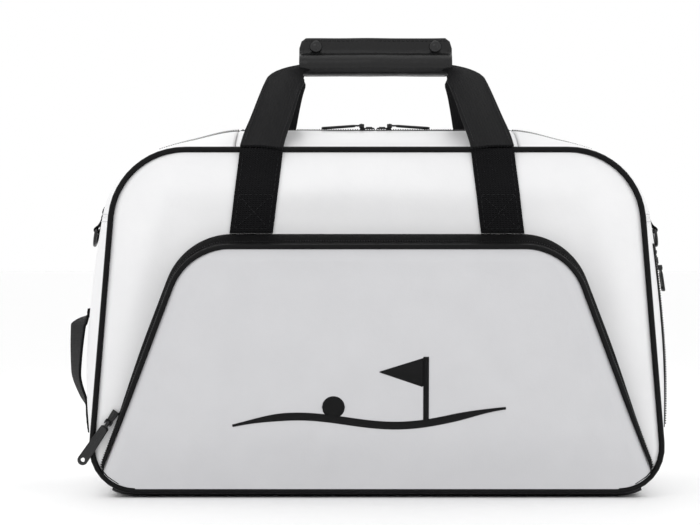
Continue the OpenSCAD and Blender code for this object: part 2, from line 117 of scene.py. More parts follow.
def crown(st):
    x, z = st[0], st[1]
    if z < 0.140:
        return 0.022 * (1 - ((0.140 - z) / 0.134) ** 2)
    return 0.010 + 0.012 * (1 - ((z - 0.140) / 0.165) ** 2) + 0.012 * (1 - ease((x - 0.125) / 0.065))


def skin(st, u, h=0.0, side=1):
    """Point of the band at station st, share u of the half depth, h outside its surface."""
    out = h + crown(st) * (1 - u * u)
    return Vector((side * (st[0] + st[2] * out), u * SEAM_Y, st[1] + st[3] * out))


def along(points, t):
    """Point at the share t of a polyline's length."""
    pts = [Vector(p) for p in points]
    steps = [(b - a).length for a, b in zip(pts, pts[1:])]
    left = t * sum(steps)
    for a, b, s in zip(pts, pts[1:], steps):
        if left <= s:
            return a.lerp(b, left / s if s else 0)
        left -= s
    return pts[-1]


def run(points, step):
    """Points an even step apart along a polyline."""
    pts = [Vector(p) for p in points]
    n = max(2, round(sum((b - a).length for a, b in zip(pts, pts[1:])) / step))
    return [along(pts, i / n) for i in range(n + 1)]


def noise(x, z, seed=0.0):
    """Slow, smooth unevenness between -1 and 1, for hand-made softness."""
    return (math.sin(23 * x + 31 * z + seed) + math.sin(-37 * x + 17 * z + 2.1 * seed + 1.3)
            + 0.6 * math.sin(61 * x + 47 * z + 3.7 * seed)) / 2.6


# ---- Meshes ----
def piece(name, bm, body, mats, nodes=(), solid=0.0, bevel=0.0, sub=0, smooth=True, rim=0):
    bm.normal_update()
    mesh = bpy.data.meshes.new(name)
    bm.to_mesh(mesh)
    bm.free()
    for m in mats:
        mesh.materials.append(m)
    for p in mesh.polygons:
        p.use_smooth = smooth
    ob = bpy.data.objects.new(name, mesh)
    scene.collection.objects.link(ob)
    if solid:
        mod = ob.modifiers.new("thickness", "SOLIDIFY")
        mod.thickness, mod.offset, mod.use_even_offset = solid, -1, True
        mod.material_offset, mod.material_offset_rim = len(mats) - 1, rim
    if bevel:
        mod = ob.modifiers.new("edges", "BEVEL")
        mod.width, mod.segments, mod.limit_method = bevel, 2, "ANGLE"
    if sub:
        mod = ob.modifiers.new("soft", "SUBSURF")
        mod.levels = mod.render_levels = sub
    if body:
        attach(ob, body)
    if nodes:
        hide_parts(*nodes)
    return ob


def loft(nu, nv, place, facing=None, size=(1, 1), cap=False):
    """Grid of nu by nv cells laid out by place(u, v). UVs run over size, in metres."""
    bm = bmesh.new()
    uv = bm.loops.layers.uv.new("UVMap")
    bmesh.ops.create_grid(bm, x_segments=nu, y_segments=nv, size=1, calc_uvs=True)
    for f in bm.faces:
        for loop in f.loops:
            loop[uv].uv = (loop[uv].uv[0] * size[0], loop[uv].uv[1] * size[1])
    for v in bm.verts:
        v.co = place((v.co.x + 1) / 2, (v.co.y + 1) / 2)
    bmesh.ops.remove_doubles(bm, verts=bm.verts, dist=2e-6)
    bmesh.ops.dissolve_degenerate(bm, edges=bm.edges, dist=1e-7)
    if cap:
        bmesh.ops.holes_fill(bm, edges=[e for e in bm.edges if e.is_boundary], sides=0)
    bm.normal_update()
    if facing is None:
        bmesh.ops.recalc_face_normals(bm, faces=bm.faces)
    elif sum(f.normal.dot(Vector(facing)) * f.calc_area() for f in bm.faces) < 0:
        bmesh.ops.reverse_faces(bm, faces=bm.faces)
    return bm


def tube(points, radius, up=(0, 1, 0), sides=10, closed=False, wide=1.0):
    """Round tube along points. radius may be a function of the share of the way along."""
    pts = [Vector(p) for p in points]
    n = len(pts)
    up = Vector(up)

    def place(u, v):
        i = round(v * (n if closed else n - 1)) % n
        a, b = (pts[i - 1], pts[(i + 1) % n]) if closed else (pts[max(0, i - 1)], pts[min(n - 1, i + 1)])
        out = (b - a).cross(up).normalized()
        r = radius(v) if callable(radius) else radius
        ang = 2 * math.pi * u
        return pts[i] + out * r * math.cos(ang) + up * r * wide * math.sin(ang)

    return loft(sides, n if closed else n - 1, place, cap=not closed, size=(0.016, 0.5))


def merged(*parts):
    """Joins several meshes into one."""
    out = bmesh.new()
    for bm in parts:
        mesh = bpy.data.meshes.new("scratch")
        bm.to_mesh(mesh)
        bm.free()
        out.from_mesh(mesh)
        bpy.data.meshes.remove(mesh)
    return out


def block(centre, dims, round_by=0.0, taper=1.0):
    """Box with rounded edges. taper narrows its +X end."""
    bm = bmesh.new()
    bm.loops.layers.uv.new("UVMap")
    bmesh.ops.create_cube(bm, size=1, calc_uvs=True)
    for v in bm.verts:
        w = taper if v.co.x > 0 else 1.0
        v.co = Vector(centre) + Vector((v.co.x * dims[0], v.co.y * dims[1] * w, v.co.z * dims[2]))
    if round_by:
        bmesh.ops.bevel(bm, geom=bm.edges, offset=round_by, affect="EDGES", segments=2, profile=0.5,
                        material=-1)
    return bm


def faced_from(bm, centre):
    """Turns the faces to point away from centre."""
    if sum(f.normal.dot(f.calc_center_median() - Vector(centre)) for f in bm.faces) < 0:
        bmesh.ops.reverse_faces(bm, faces=bm.faces)


def rod(a, b, r, sides=12):
    """Round pin from a to b."""
    a, b = Vector(a), Vector(b)
    bm = bmesh.new()
    bm.loops.layers.uv.new("UVMap")
    bmesh.ops.create_cone(bm, cap_ends=True, segments=sides, radius1=r, radius2=r, depth=(b - a).length,
                          calc_uvs=True)
    turn = (b - a).to_track_quat("Z", "Y").to_matrix().to_4x4()
    bmesh.ops.transform(bm, matrix=Matrix.Translation((a + b) / 2) @ turn, verts=bm.verts)
    return bm


def turned(profile, base, axis, sides=32):
    """Round solid from points (radius, height), standing on base along axis."""
    n = len(profile)
    turn = Vector(axis).to_track_quat("Z", "Y").to_matrix()

    def place(u, v):
        r, h = profile[round(v * (n - 1))]
        ang = 2 * math.pi * u
        return Vector(base) + turn @ Vector((r * math.cos(ang), r * math.sin(ang), h))

    return loft(sides, n - 1, place, size=(0.02, 0.02))


def stitches(points, outward, pitch=0.0042, length=0.0028, r=0.00032):
    """Row of thread stitches sunk a little into a surface. outward(point) is its normal."""
    parts = []
    row = run(points, pitch)
    for a, b in zip(row, row[1:]):
        mid, d = (a + b) / 2, (b - a).normalized()
        n = Vector(outward(mid)).normalized()
        q = [mid - d * length / 2 - n * r, mid - d * length * 0.3 + n * r * 0.5, mid + n * r * 0.8,
             mid + d * length * 0.3 + n * r * 0.5, mid + d * length / 2 - n * r]
        parts.append(tube(q, r, up=d.cross(n), sides=5))
    return merged(*parts)


# ---- Effects shared by the materials ----
def group(name, inputs, outputs):
    tree = bpy.data.node_groups.new(name, "ShaderNodeTree")
    for label, kind, value in inputs:
        socket = tree.interface.new_socket(label, in_out="INPUT", socket_type=kind)
        if value is not None:
            socket.default_value = value
    for label, kind in outputs:
        tree.interface.new_socket(label, in_out="OUTPUT", socket_type=kind)
    return tree, tree.nodes.new("NodeGroupInput"), tree.nodes.new("NodeGroupOutput")


def add(tree, kind, **values):
    """New node. Keys that name a socket set it or link to it; the rest are node settings."""
    node = tree.nodes.new(kind)
    for key, value in values.items():
        label = key.replace("_", " ")
        if label in node.inputs and key[0].isupper():
            if isinstance(value, bpy.types.NodeSocket):
                tree.links.new(value, node.inputs[label])
            else:
                node.inputs[label].default_value = value
        else:
            setattr(node, key, value)
    return node


def sums(tree, operation, *values):
    node = tree.nodes.new("ShaderNodeMath")
    node.operation = operation
    for socket, value in zip(node.inputs, values):
        if isinstance(value, bpy.types.NodeSocket):
            tree.links.new(value, socket)
        else:
            socket.default_value = value
    return node.outputs[0]


# Hide grain: pebbles, pores and slow unevenness, as a normal, a tone and a shine
HIDE, h_in, h_out = group(
    "hide grain",
    [("Cell", "NodeSocketFloat", 900.0), ("Depth", "NodeSocketFloat", 0.2), ("Soft", "NodeSocketFloat", 0.1)],
    [("Normal", "NodeSocketVector"), ("Tone", "NodeSocketFloat"), ("Shine", "NodeSocketFloat")])
here = add(HIDE, "ShaderNodeTexCoord").outputs["Object"]
slow = add(HIDE, "ShaderNodeTexNoise", Vector=here, Scale=28.0, Detail=3.0, Roughness=0.55)
warp = add(HIDE, "ShaderNodeTexNoise", Vector=here, Scale=420.0, Detail=2.0)
bent = add(HIDE, "ShaderNodeMix", data_type="VECTOR")
bent.inputs["Factor"].default_value = 0.0012
HIDE.links.new(here, bent.inputs[4])
HIDE.links.new(warp.outputs["Color"], bent.inputs[5])
cells = add(HIDE, "ShaderNodeTexVoronoi", feature="SMOOTH_F1", Vector=bent.outputs[1])
HIDE.links.new(h_in.outputs["Cell"], cells.inputs["Scale"])
pores = add(HIDE, "ShaderNodeTexNoise", Vector=here, Scale=1500.0, Detail=2.0)
fine = sums(HIDE, "ADD", cells.outputs["Distance"], sums(HIDE, "MULTIPLY", pores.outputs["Fac"], 0.35))
b1 = add(HIDE, "ShaderNodeBump", Height=slow.outputs["Fac"], Distance=0.004)
HIDE.links.new(h_in.outputs["Soft"], b1.inputs["Strength"])
b2 = add(HIDE, "ShaderNodeBump", Height=fine, Distance=0.0004, Normal=b1.outputs["Normal"], invert=True)
HIDE.links.new(h_in.outputs["Depth"], b2.inputs["Strength"])
HIDE.links.new(b2.outputs["Normal"], h_out.inputs["Normal"])
HIDE.links.new(slow.outputs["Fac"], h_out.inputs["Tone"])
HIDE.links.new(fine, h_out.inputs["Shine"])

# Weave: ribs across UV's second axis and yarns along the first
WEAVE, w_in, w_out = group(
    "weave",
    [("Rib", "NodeSocketFloat", 800.0), ("Yarn", "NodeSocketFloat", 500.0),
     ("Depth", "NodeSocketFloat", 0.5)],
    [("Normal", "NodeSocketVector"), ("Tone", "NodeSocketFloat")])
uv_xyz = add(WEAVE, "ShaderNodeSeparateXYZ", Vector=add(WEAVE, "ShaderNodeTexCoord").outputs["UV"])
across = sums(WEAVE, "SINE", sums(WEAVE, "MULTIPLY", uv_xyz.outputs["X"], w_in.outputs["Yarn"]))
shift = sums(WEAVE, "MULTIPLY", across, 1.3)
along_it = sums(WEAVE, "SINE", sums(WEAVE, "ADD", sums(WEAVE, "MULTIPLY", uv_xyz.outputs["Y"],
                                                        w_in.outputs["Rib"]), shift))
fuzz = add(WEAVE, "ShaderNodeTexNoise", Scale=2500.0, Detail=2.0,
           Vector=add(WEAVE, "ShaderNodeTexCoord").outputs["Object"])
high = sums(WEAVE, "ADD", sums(WEAVE, "ADD", along_it, sums(WEAVE, "MULTIPLY", across, 0.5)),
            sums(WEAVE, "MULTIPLY", fuzz.outputs["Fac"], 0.8))
b3 = add(WEAVE, "ShaderNodeBump", Height=high, Distance=0.00035)
WEAVE.links.new(w_in.outputs["Depth"], b3.inputs["Strength"])
WEAVE.links.new(b3.outputs["Normal"], w_out.inputs["Normal"])
WEAVE.links.new(sums(WEAVE, "MULTIPLY_ADD", high, 0.2, 0.45), w_out.inputs["Tone"])

# Wear: a mask of light scuffs and dust
WEAR, r_in, r_out = group("wear", [("Amount", "NodeSocketFloat", 0.3)], [("Mask", "NodeSocketFloat")])
worn_at = add(WEAR, "ShaderNodeTexCoord").outputs["Object"]
stretch = add(WEAR, "ShaderNodeMapping", Vector=worn_at, Scale=(40.0, 40.0, 130.0), Rotation=(0.0, 0.6, 0.0))
marks = add(WEAR, "ShaderNodeTexNoise", Vector=stretch.outputs["Vector"], Scale=6.0, Detail=5.0,
            Roughness=0.7)
cut = add(WEAR, "ShaderNodeMapRange", Value=marks.outputs["Fac"], From_Min=0.62, From_Max=0.78)
WEAR.links.new(sums(WEAR, "MULTIPLY", cut.outputs["Result"], r_in.outputs["Amount"]), r_out.inputs["Mask"])


# ---- Materials ----
def material(name, dark, light, rough, effect=None, values=(), wear=0.0, shine=0.0, **shader):
    """Principled material whose colour runs from dark to light with the effect's tone."""
    mat = bpy.data.materials.new(name)
    mat.use_nodes = True
    tree = mat.node_tree
    base = tree.nodes["Principled BSDF"]
    for key, value in shader.items():
        base.inputs[key.replace("_", " ")].default_value = value
    fx = tree.nodes.new("ShaderNodeGroup")
    fx.node_tree = effect or HIDE
    for key, value in values:
        fx.inputs[key].default_value = value
    tint = add(tree, "ShaderNodeMix", data_type="RGBA", Factor=fx.outputs["Tone"])
    tint.inputs[6].default_value, tint.inputs[7].default_value = (*dark, 1), (*light, 1)
    scuff = tree.nodes.new("ShaderNodeGroup")
    scuff.node_tree = WEAR
    scuff.inputs["Amount"].default_value = wear
    worn = add(tree, "ShaderNodeMix", data_type="RGBA", Factor=scuff.outputs["Mask"])
    tree.links.new(tint.outputs[2], worn.inputs[6])
    worn.inputs[7].default_value = (0.5, 0.49, 0.47, 1)
    tree.links.new(worn.outputs[2], base.inputs["Base Color"])
    tree.links.new(fx.outputs["Normal"], base.inputs["Normal"])
    gloss = sums(tree, "MULTIPLY_ADD", fx.outputs["Tone"], shine, rough - shine / 2)
    tree.links.new(sums(tree, "ADD", gloss, sums(tree, "MULTIPLY", scuff.outputs["Mask"], 0.25)),
                   base.inputs["Roughness"])
    return mat


def grain(cell, depth, soft):
    return (("Cell", cell), ("Depth", depth), ("Soft", soft))


def ribs(rib, yarn, depth):
    return (("Rib", rib), ("Yarn", yarn), ("Depth", depth))


WHITE = material("white hide", (0.79, 0.79, 0.80), (0.86, 0.86, 0.865), 0.40, HIDE, grain(850, 0.10, 0.10),
                 wear=0.05, shine=0.1, Coat_Weight=0.12, Coat_Roughness=0.25)
# Painted shade: the pocket is the same white hide as the panels, but its colour is darkened to stand for the
# shade on the leaning pocket.
SHADED_POCKET_HIDE = material("white pocket hide with painted shade", (0.56, 0.56, 0.575), (0.61, 0.61, 0.625), 0.38, HIDE,
                  grain(850, 0.10, 0.12), wear=0.05, shine=0.1, Coat_Weight=0.15, Coat_Roughness=0.22)
PIPING = material("black piping hide", (0.002, 0.002, 0.0022), (0.005, 0.005, 0.0055), 0.40, HIDE,
                  grain(1300, 0.22, 0.1), wear=0.02, shine=0.12, Specular_IOR_Level=0.12)
BASE = material("black base hide", (0.005, 0.005, 0.0055), (0.014, 0.014, 0.015), 0.52, HIDE,
                grain(600, 0.6, 0.2), wear=0.10, shine=0.15, Specular_IOR_Level=0.2)
GRIP = material("black grip hide", (0.002, 0.002, 0.0022), (0.005, 0.005, 0.0055), 0.30, HIDE,
                grain(700, 0.42, 0.45), wear=0.02, shine=0.16, Specular_IOR_Level=0.25, Coat_Weight=0.15,
                Coat_Roughness=0.15)
WEBBING = material("black webbing", (0.0015, 0.0015, 0.0018), (0.008, 0.008, 0.009), 0.62, WEAVE,
                   ribs(3600, 2400, 0.8), wear=0.02, shine=0.1, Specular_IOR_Level=0.10)
TAPE = material("black zip tape", (0.0015, 0.0015, 0.0018), (0.006, 0.006, 0.0065), 0.7, WEAVE,
                ribs(5200, 5200, 0.6), wear=0.02, shine=0.1, Specular_IOR_Level=0.10)
COIL = material("black zip coil", (0.003, 0.003, 0.0035), (0.009, 0.009, 0.010), 0.33, HIDE,
                grain(2500, 0.1, 0.05), shine=0.1, Specular_IOR_Level=0.25)
LINING = material("grey lining", (0.10, 0.103, 0.11), (0.20, 0.205, 0.215), 0.72, WEAVE,
                  ribs(4200, 4200, 0.5), wear=0.1, shine=0.1, Sheen_Weight=0.3)
BOARD = material("stiffener", (0.02, 0.02, 0.022), (0.045, 0.045, 0.048), 0.6, HIDE, grain(500, 0.5, 0.1))
RUBBER = material("black feet", (0.012, 0.012, 0.013), (0.03, 0.03, 0.032), 0.5, HIDE, grain(900, 0.25, 0.1),
                  wear=0.4, shine=0.1)
THREAD = material("black embroidery", (0.002, 0.002, 0.0022), (0.009, 0.009, 0.010), 0.45, WEAVE,
                  ribs(9000, 900, 0.9), shine=0.12, Specular_IOR_Level=0.2)
STITCH_W = material("white thread", (0.62, 0.62, 0.64), (0.74, 0.74, 0.76), 0.5, WEAVE, ribs(9000, 9000, 0.4))
STITCH_B = material("black thread", (0.004, 0.004, 0.005), (0.020, 0.020, 0.022), 0.48, WEAVE,
                    ribs(9000, 9000, 0.4), Specular_IOR_Level=0.25)
METAL = material("black metal", (0.004, 0.004, 0.0045), (0.012, 0.012, 0.013), 0.30, HIDE,
                 grain(1800, 0.05, 0.04), wear=0.12, shine=0.14, Metallic=0.4, Coat_Weight=0.2,
                 Coat_Roughness=0.15)


# ---- Panels and band ----
LID_Y, LID_Z = -0.1254, 0.0115
LID_TILT = math.atan2(0.029, POCKET_TOP - LID_Z)
LID_SLOPE = 0.38194


def puff(x, z):
    """How far the front panel swells out. It lies flat behind the pocket and along its zip."""
    clear = max(abs(x) - POCKET_HALF - (POCKET_TOP - z) * LID_SLOPE, z - 0.231)
    edge = min(1.0, max(0.0, (outline_half(z, 0.0025) - abs(x)) / 0.05), max(0.0, (TOP_Z - z) / 0.04))
    return 0.0038 * ease(edge) * ease((clear - 0.012) / 0.03) * (1 + 0.3 * noise(x, z))


def rear_puff(x, z):
    edge = min(1.0, max(0.0, (outline_half(z, 0.0025) - abs(x)) / 0.06), max(0.0, (TOP_Z - z) / 0.05),
               max(0.0, (z - LOW_Z) / 0.05))
    return 0.0050 * ease(edge) * (1 + 0.3 * noise(x, z, 2.0))


def panel(side, swell):
    def spot(u, v):
        z = mix(LOW_Z + PIPE_R, TOP_Z - PIPE_R, (1 - math.cos(math.pi * v)) / 2)
        x = (2 * u - 1) * outline_half(z, PIPE_R)
        return Vector((x, side * (FACE_Y + swell(x, z)), z))
    return loft(90, 70, spot, facing=(0, side, 0), size=(0.5, 0.3))


piece("front_panel_cover", panel(-1, puff), "shell", [WHITE, LINING], ["front_panel"],
      solid=COVER)
piece("rear_panel_cover", panel(1, rear_puff), "shell", [WHITE, LINING], ["rear_panel"],
      solid=COVER)
for name, side in (("front", -1), ("rear", 1)):
    ring = run([(x, side * FACE_Y, z) for x, z in seam_path(0) + seam_path(0)[:1]], 0.008)[:-1]
    ring = [p + Vector((0, side * 0.0003 * noise(p.x, p.z, 5.0), 0)) for p in ring]
    cord = tube(ring, PIPE_R, closed=True, sides=14)
    piece(name + "_piping_cord", cord, "shell", [PIPING], [name + "_piping"])


def band(path, us, side=1, h=0.0, window=None, cols=4):
    """Sheet of the band. us are shares of the half depth, each gap split into cols cells."""
    spans = len(us) - 1

    def spot(u, v):
        i = min(spans - 1, int(u * spans + 1e-6))
        share = mix(us[i], us[i + 1], u * spans - i)
        j = min(len(path) - 2, int(v * (len(path) - 1) + 1e-6))
        t = v * (len(path) - 1) - j
        a, b = Vector(path[j]), Vector(path[j + 1])
        st = a.lerp(b, t)
        soft = 0.0007 * noise(share * 0.12 + side * 0.4, st[1] + 0.3 * st[0], 4.0) * (1 - share * share)
        pull = -0.0006 * max(0.0, abs(share) - 0.93) / 0.07
        return skin(st, share, (h(share, v) if callable(h) else h) + soft + pull, side)

    bm = loft(spans * cols, (len(path) - 1) * 2, spot, size=(0.245, 0.3))
    mid = along([(side * p[0], 0, p[1]) for p in path], 0.5)
    faced_from(bm, (mid.x * 0.7, 0, 0.14))
    if window:
        gone = [f for f in bm.faces if window(f.calc_center_median())]
        bmesh.ops.delete(bm, geom=gone, context="FACES")
    return bm


DOOR_U, FRAME_U = 0.070 / SEAM_Y, 0.078 / SEAM_Y
DOOR_LOW, DOOR_TOP = 0.058, 0.214
corner_path = ([on_top(mix(0.125, TOP_C[0], i / 6)) for i in range(7)]
               + [on_arc(TOP_C, TOP_R, mix(math.pi / 2, LEAN, i / 14)) for i in range(1, 15)])
side_zs = [DOOR_TOP + 0.008] + [mix(DOOR_TOP, DOOR_LOW, i / 14) for i in range(15)]
low_arc = [on_arc(LOW_C, LOW_R, mix(LEAN, -math.pi / 2, i / 12)) for i in range(13)]
end_path = ([on_side(SHOULDER)] + [on_side(z) for z in side_zs] + low_arc + [(0.1988, LOW_Z, 0.0, -1.0)])
end_us = [-1, -(1 + FRAME_U) / 2, -FRAME_U, -DOOR_U, -DOOR_U / 2, 0, DOOR_U / 2, DOOR_U, FRAME_U,
          (1 + FRAME_U) / 2, 1]
for side, name in ((1, "right"), (-1, "left")):
    hole = (lambda c: abs(c.y) < DOOR_U * SEAM_Y and DOOR_LOW < c.z < DOOR_TOP) if side > 0 else None
    piece("end_gusset_" + name + "_cover", band(end_path, end_us, side, window=hole), "shell",
          [WHITE, LINING], ["end_gusset_" + name], solid=COVER)
    piece("top_corner_" + name + "_cover", band(corner_path, [-1, -0.66, -0.33, 0, 0.33, 0.66, 1], side),
          "shell", [WHITE, LINING], ["top_corner_" + name], solid=COVER)
    seam = [skin(on_side(SHOULDER - 0.0035), u / 20, 0.0, side) for u in range(-19, 20)]
    seam2 = [skin(on_side(SHOULDER + 0.003), u / 20, 0.0, side) for u in range(-19, 20)]
    piece("shoulder_stitching_" + name,
          merged(stitches(seam, lambda p, s=side: (s, 0, 0.1)),
                 stitches(seam2, lambda p, s=side: (s, 0, 0.2))),
          "shell", [STITCH_W])

# Base: a black cover that turns up round the lower corners
under = [on_arc(LOW_C, LOW_R, mix(-1.06, -math.pi / 2, i / 8)) for i in range(9)]
flat = [(x, LOW_Z, 0.0, -1.0) for x in (0.19, 0.15, 0.1, 0.05, 0.0)]


def base_at(u, v):
    s = 1 if v < 0.5 else -1
    half = under + flat
    t = (v if v < 0.5 else 1 - v) * 2 * (len(half) - 1)
    i = min(len(half) - 2, int(t + 1e-6))
    st = Vector(half[i]).lerp(Vector(half[i + 1]), t - i)
    share = 2 * u - 1
    lift = mix(0.0058, 0.0052, ease(t / 8)) - 0.0030 * (max(0, abs(share) - 0.95) / 0.05) ** 2
    return skin(st, share * 1.012, lift, s)


piece("base_cover", loft(24, 52, base_at, facing=(0, 0, -1), size=(0.24, 0.46)), "shell",
      [BASE], ["base_panel"], solid=0.0022)
foot = [(0.0001, 0.0030), (0.0074, 0.0030), (0.0075, 0.0016), (0.0068, 0.0005), (0.0056, 0.0), (0.0030, 0.0),
        (0.0026, 0.0005), (0.0001, 0.0006)]
spots = [(0, 0)] + [(sx * 0.188, sy * 0.085) for sx in (-1, 1) for sy in (-1, 1)]
piece("rubber_feet", merged(*[turned(foot, (x, y, 0), (0, 0, 1)) for x, y in spots]), "shell",
      [RUBBER], ["feet"])


def from_cad(node, name, body, mat, bevel=0.0):
    """Own copy of a plain CAD piece, merged, with eased edges."""
    bm = bmesh.new()
    bm.from_mesh(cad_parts[node].data)
    bmesh.ops.remove_doubles(bm, verts=bm.verts, dist=1e-5)
    bmesh.ops.dissolve_limit(bm, angle_limit=0.02, verts=bm.verts, edges=bm.edges)
    if not bm.loops.layers.uv:
        bm.loops.layers.uv.new("UVMap")
    flat_uv = bm.loops.layers.uv.active
    for f in bm.faces:
        for loop in f.loops:
            loop[flat_uv].uv = (loop.vert.co.x + loop.vert.co.y, loop.vert.co.z + 0.5 * loop.vert.co.y)
    return piece(name, bm, body, [mat], [node], bevel=bevel, smooth=False)


from_cad("base_board", "base_stiffener", "shell", BOARD, bevel=0.0006)
from_cad("shoe_tunnel", "shoe_tunnel_cloth", "shell", LINING, bevel=0.0004)
from_cad("inner_pocket", "slip_pocket_cloth", "shell", LINING, bevel=0.0004)


# ---- Top flaps and the main zip ----
def band_z(y):
    return TOP_Z + 0.022 * (1 - (y / SEAM_Y) ** 2)


def teeth(path, normal, inward):
    """Row of coil teeth along a path, reaching inward from it."""
    parts = []
    row = run(path, TEETH)
    for a, b in zip(row, row[1:]):
        d, n = (b - a).normalized(), Vector(normal).normalized()
        side = Vector(inward(a) if callable(inward) else inward).normalized()
        mid = (a + b) / 2
        q = [mid + n * 0.0002, mid + side * 0.0010 + n * 0.0007, mid + side * 0.0022 + n * 0.0003]
        parts.append(tube(q, COIL_R, up=d, sides=5))
    return merged(*parts)


for name, s, body in (("front", 1, "front_flap"), ("rear", -1, "rear_flap")):
    def lip(u, v, s=s):
        y = mix(-0.1218, -0.0080, v)
        x = (2 * u - 1) * FLAP_HALF
        ends = ease(min(1, (1 - abs(2 * u - 1)) / 0.06)) * ease(min(1, v * 12))
        fold = 0.0008 * math.exp(-((y + 0.0105) / 0.0022) ** 2)
        return Vector((x, s * y, band_z(y) - 0.0004 + 0.0008 * noise(x, 1.4 * y, 1.0 + s) * ends + fold))

    def strip(u, v, s=s):
        y = mix(-0.0086, -0.0012, v)
        return Vector(((2 * u - 1) * FLAP_HALF, s * y, band_z(y) - 0.0009 + 0.0021 * ease(v * 1.5)))

    piece(name + "_lip_cover", loft(60, 30, lip, facing=(0, 0, 1), size=(0.25, 0.11)), body,
          [WHITE, LINING], [name + "_lip"], solid=COVER)
    piece(name + "_zip_tape_cloth", loft(90, 4, strip, facing=(0, 0, 1), size=(0.25, 0.008)), body,
          [TAPE], [name + "_zip_tape"], solid=0.0009)
    coil_end = FLAP_HALF - 0.001
    line = [(x, s * -0.0030, band_z(0) + 0.0010) for x in (-coil_end, coil_end)]
    piece(name + "_zip_coil", teeth(line, (0, 0, 1), (0, s, 0)), body, [COIL])
    row = [(x / 1000, s * -0.0125, band_z(0.0125) - 0.0003) for x in range(-122, 123, 4)]
    piece(name + "_lip_stitching", stitches(row, lambda p: (0, 0, 1)), body, [STITCH_W])

# The zip runs on, sewn shut, over both upper corners
zip_end = ([on_top(mix(0.1255, TOP_C[0], i / 6)) for i in range(7)]
           + [on_arc(TOP_C, TOP_R, math.pi / 2 - 0.06 * i) for i in range(1, 9)])
for side, name in ((1, "right"), (-1, "left")):
    cloth = band(zip_end, [-0.070, -0.01, 0.01, 0.070], side,
                 h=lambda share, v: 0.0002 + 0.0009 * (1 - abs(share) / 0.070))
    piece("zip_end_cloth_" + name, cloth, "shell", [TAPE], solid=0.0007)
    crest = [skin(st, 0, 0.0007, side) for st in zip_end[:-1]]
    coils = [teeth([p + Vector((0, k * 0.0029, 0)) for p in crest], (side * 0.3, 0, 1), (0, -k, 0))
             for k in (-1, 1)]
    piece("zip_end_coil_" + name, merged(*coils), "shell", [COIL])


# ---- Front pocket ----
def pocket_half(z):
    return POCKET_HALF + (POCKET_TOP - z) * LID_SLOPE


PS, PC = math.sin(math.atan(LID_SLOPE)), math.cos(math.atan(LID_SLOPE))


def corner_of(g, rise=0.0):
    """Centre and radius of the pocket's right upper corner, moved outwards by g."""
    r = 0.055 + g
    z = POCKET_TOP + g + rise - r
    return (pocket_half(z) + g / PC - r / PC, z), r


def pocket_path(g, rise=0.0, low=0.0195):
    """Pocket edge from its left foot over the top to its right foot, as points (x, z)."""
    c, r = corner_of(g, rise)
    pts = [(c[0] * i / 12, c[1] + r) for i in range(12)]
    pts += [(c[0] + r * math.cos(a), c[1] + r * math.sin(a))
            for a in [mix(math.pi / 2, math.asin(PS), i / 16) for i in range(17)]]
    top = pts[-1][1]
    for i in range(1, 29):
        z = mix(top, low, i / 28)
        pts.append((min(pocket_half(z) + g / PC, outline_half(z, 0.0034)), z))
    return [(-x, z) for x, z in reversed(pts[1:])] + pts


def pocket_width(z, g):
    c, r = corner_of(g)
    wide = pocket_half(z) + g / PC
    if z > c[1] + r * PS:
        wide = c[0] + math.sqrt(max(0, r * r - (z - c[1]) ** 2))
    return min(wide, outline_half(z, 0.0028))


def on_lid(x, y, z):
    """Point drawn on the upright pocket, leant out about the hinge line."""
    d = z - LID_Z
    return Vector((x, LID_Y + y * math.cos(LID_TILT) - d * math.sin(LID_TILT),
                   LID_Z + y * math.sin(LID_TILT) + d * math.cos(LID_TILT)))


LID_OUT = Vector((0, -math.cos(LID_TILT), -math.sin(LID_TILT)))


def pocket_puff(x, z):
    edge = min(pocket_width(z, -0.002) - abs(x), 0.2198 - z)
    foot = ease((z - LID_Z) / 0.05)
    rim = 0.0026 * ease(min(1, max(0, edge) / 0.010))
    dip = 0.0008 * math.exp(-((edge - 0.022) / 0.009) ** 2)
    uneven = 0.0006 * noise(x, z, 8.0) * foot * (edge > 0) * ease(min(1, max(0, edge) / 0.03))
    return (rim + 0.0030 * ease(min(1, max(0, edge) / 0.09)) - dip) * foot + uneven


def pocket_face(u, v):
    z = mix(0.0080, 0.2196, (1 - math.cos(math.pi * v)) / 2)
    x = (2 * u - 1) * pocket_width(z, -0.0022)
    return on_lid(x, -0.0026 - pocket_puff(x, z), z)


lid = piece("pocket_cover", loft(110, 80, pocket_face, facing=LID_OUT, size=(0.5, 0.21)), None,
            [SHADED_POCKET_HIDE, LINING], ["pocket_panel"], solid=0.0022)
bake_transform(lid)
bead = run([on_lid(x, -0.0022, z) for x, z in pocket_path(0, low=0.0125)], 0.006)
piece("pocket_piping_cord",
      tube(bead, lambda t: 0.0023 * (0.25 + 0.75 * ease(min(t, 1 - t) / 0.12)), up=LID_OUT, sides=14),
      "pocket_lid", [PIPING], ["pocket_piping"])

# Zip wall of the pocket: the outer half stands on the front panel, the inner half on the lid
LOW_TAPE = 0.026
mid_edge = pocket_path(0.0018, low=LOW_TAPE)
outer_edge = [tuple(Vector(a).lerp(Vector(b), 0.15 + 0.85 * ease((b[1] - 0.03) / 0.12)))
              for a, b in zip(mid_edge, pocket_path(0.0062, rise=0.0028, low=LOW_TAPE))]
lid_edge = pocket_path(0.0004, low=LOW_TAPE)


def mid_point(i, fwd=0.0):
    x, z = mid_edge[i]
    return Vector((x, LID_Y - (z - LID_Z) * math.tan(LID_TILT / 2) - fwd, z))


def wall_strip(i, v, lid_side):
    if lid_side:
        x, z = lid_edge[i]
        return mid_point(i, 0.0006).lerp(on_lid(x, -0.0006, z), v)
    x, z = outer_edge[i]
    start = Vector((x, -FACE_Y - puff(x, z) - 0.0004, z))
    end = mid_point(i, -0.0003)
    return start.lerp(end, v) + Vector((0, 0, 0.0012 * math.sin(math.pi * v)))


def wall_out(p):
    return Vector((p.x * 0.6, 0, max(0.0, p.z - 0.16))).normalized()


